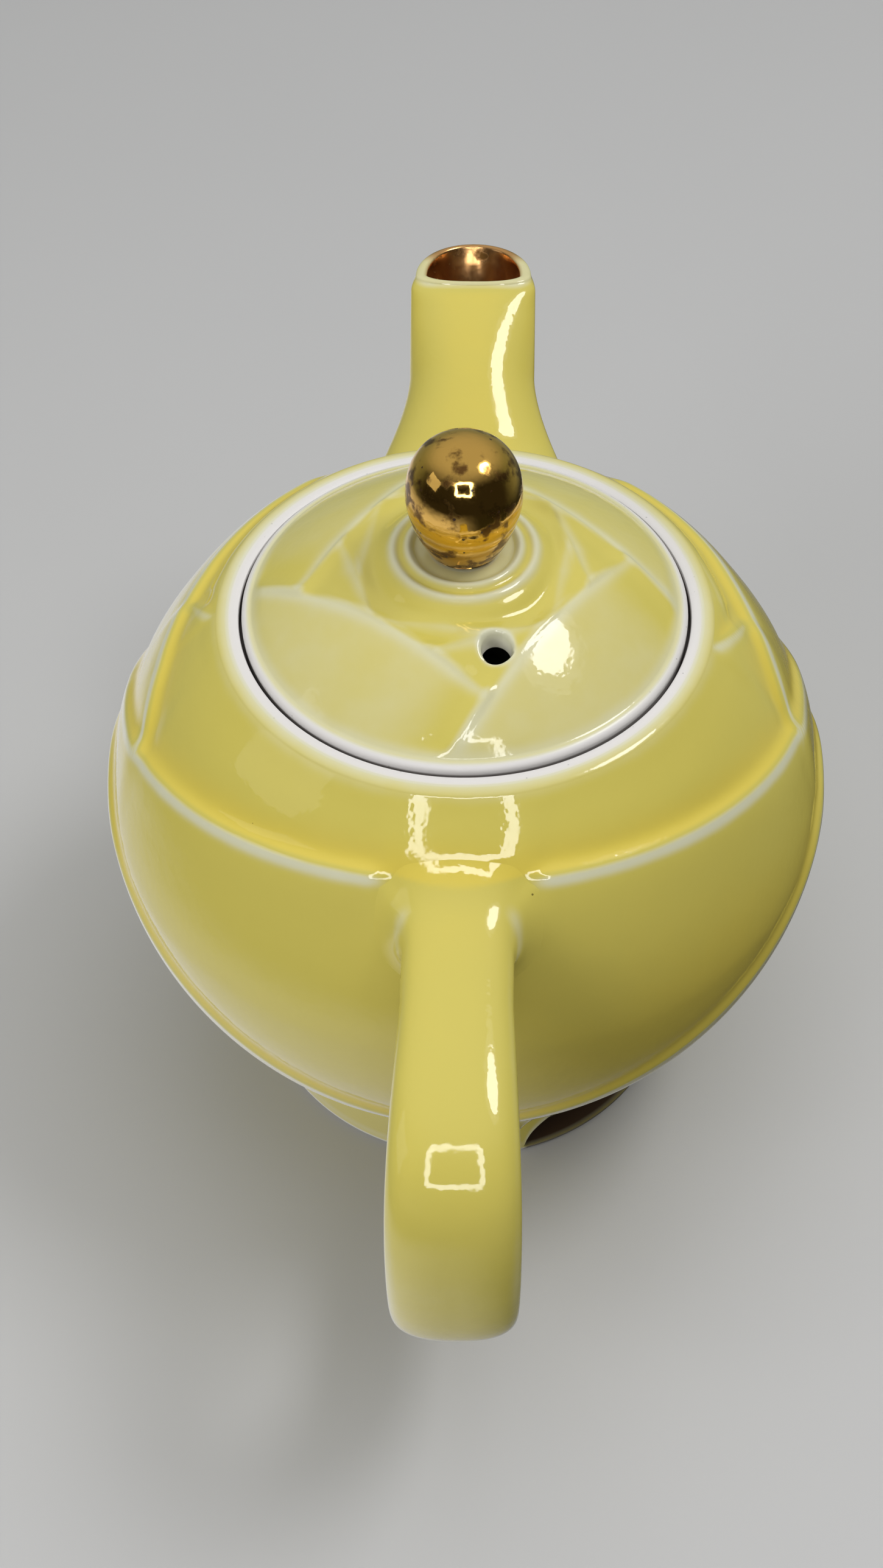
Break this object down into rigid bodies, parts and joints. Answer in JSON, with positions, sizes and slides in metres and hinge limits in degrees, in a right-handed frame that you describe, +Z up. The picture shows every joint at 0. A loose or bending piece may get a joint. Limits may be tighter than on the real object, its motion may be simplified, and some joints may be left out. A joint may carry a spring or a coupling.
{
  "type": "teapot",
  "caption": "Round glazed ceramic teapot with overlapping petal relief, strap handle, flat-backed spout, foot ring and a domed lift-off lid with a gilt egg knob.",
  "frame": {"origin": "on the table, midway between the handle's outermost point and the spout's lip and in the pot's plane of symmetry", "axes": "+Z up, +Y from the handle to the spout, +X to the right when seen from the handle"},
  "size_m": [0.1502, 0.245, 0.168],
  "materials": {
    "yellow_glaze": "glossy transparent yellow-green glaze, pale on edges and deep in hollows",
    "white_glaze": "glossy clear glaze over white clay",
    "bare_ceramic": "unglazed matte white clay",
    "gold_lustre": "bright gold lustre fired over glaze"
  },
  "bodies": {
    "pot": {"pot_body": "yellow_glaze", "foot_ring": "yellow_glaze", "strainer": "white_glaze", "spout": "yellow_glaze", "handle": "yellow_glaze"},
    "lid": {"lid_cover": "yellow_glaze", "lid_flange": "bare_ceramic", "lid_knob": "gold_lustre"}
  },
  "joints": [
    {"name": "lid_lift", "type": "slide", "parent": "pot", "child": "lid", "axis": [0, 0, 1], "range_m": [0, 0.045]}
  ]
}
